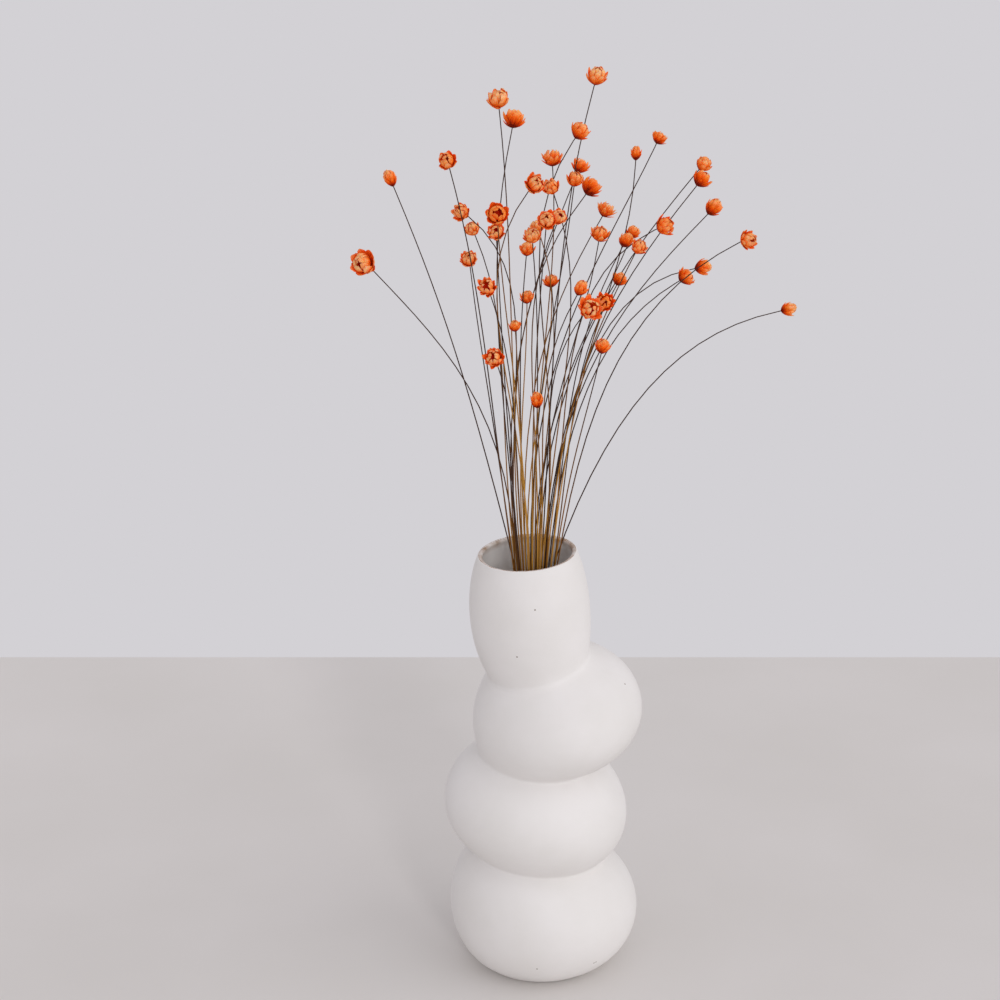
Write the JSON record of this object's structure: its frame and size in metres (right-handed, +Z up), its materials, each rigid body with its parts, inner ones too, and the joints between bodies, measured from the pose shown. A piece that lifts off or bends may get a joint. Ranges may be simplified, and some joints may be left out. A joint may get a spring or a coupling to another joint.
{
  "type": "vase of dried flowers",
  "caption": "White stacked-pebble ceramic vase holding dried glixia: small orange papery blooms on thin wiry stems.",
  "frame": {"origin": "middle of the vase's foot, on the surface that it stands on", "axes": "+Z up the vase towards the blooms, -Y towards the side that the picture shows, +X to its right"},
  "size_m": [0.2354, 0.128, 0.5125],
  "materials": {
    "bisque": "matte",
    "bracts": "matte",
    "straw": "satin"
  },
  "bodies": {
    "root": {"vase": "bisque", "bloom_01": "bracts", "bloom_02": "bracts", "bloom_03": "bracts", "bloom_04": "bracts", "bloom_05": "bracts", "bloom_06": "bracts", "bloom_07": "bracts", "bloom_08": "bracts", "bloom_09": "bracts", "bloom_10": "bracts", "bloom_11": "bracts", "bloom_12": "bracts", "bloom_13": "bracts", "bloom_14": "bracts", "bloom_15": "bracts", "bloom_16": "bracts", "bloom_17": "bracts", "bloom_18": "bracts", "bloom_19": "bracts", "bloom_20": "bracts", "bloom_21": "bracts", "bloom_22": "bracts", "bloom_23": "bracts", "bloom_24": "bracts", "bloom_25": "bracts", "bloom_26": "bracts", "bloom_27": "bracts", "bloom_28": "bracts", "bloom_29": "bracts", "bloom_30": "bracts", "bloom_31": "bracts", "bloom_32": "bracts", "bloom_33": "bracts", "bloom_34": "bracts", "bloom_35": "bracts", "bloom_36": "bracts", "bloom_37": "bracts", "bloom_38": "bracts", "bloom_39": "bracts", "bloom_40": "bracts", "bloom_41": "bracts", "bloom_42": "bracts", "bloom_43": "bracts", "bloom_44": "bracts", "bloom_45": "bracts", "bloom_46": "bracts", "bloom_47": "bracts", "bloom_48": "bracts", "bloom_49": "bracts", "stems_01": "straw", "stems_02": "straw", "stems_03": "straw", "stems_04": "straw", "stems_05": "straw", "stems_06": "straw", "stems_07": "straw", "stems_08": "straw", "stems_09": "straw", "stems_10": "straw"}
  },
  "joints": []
}
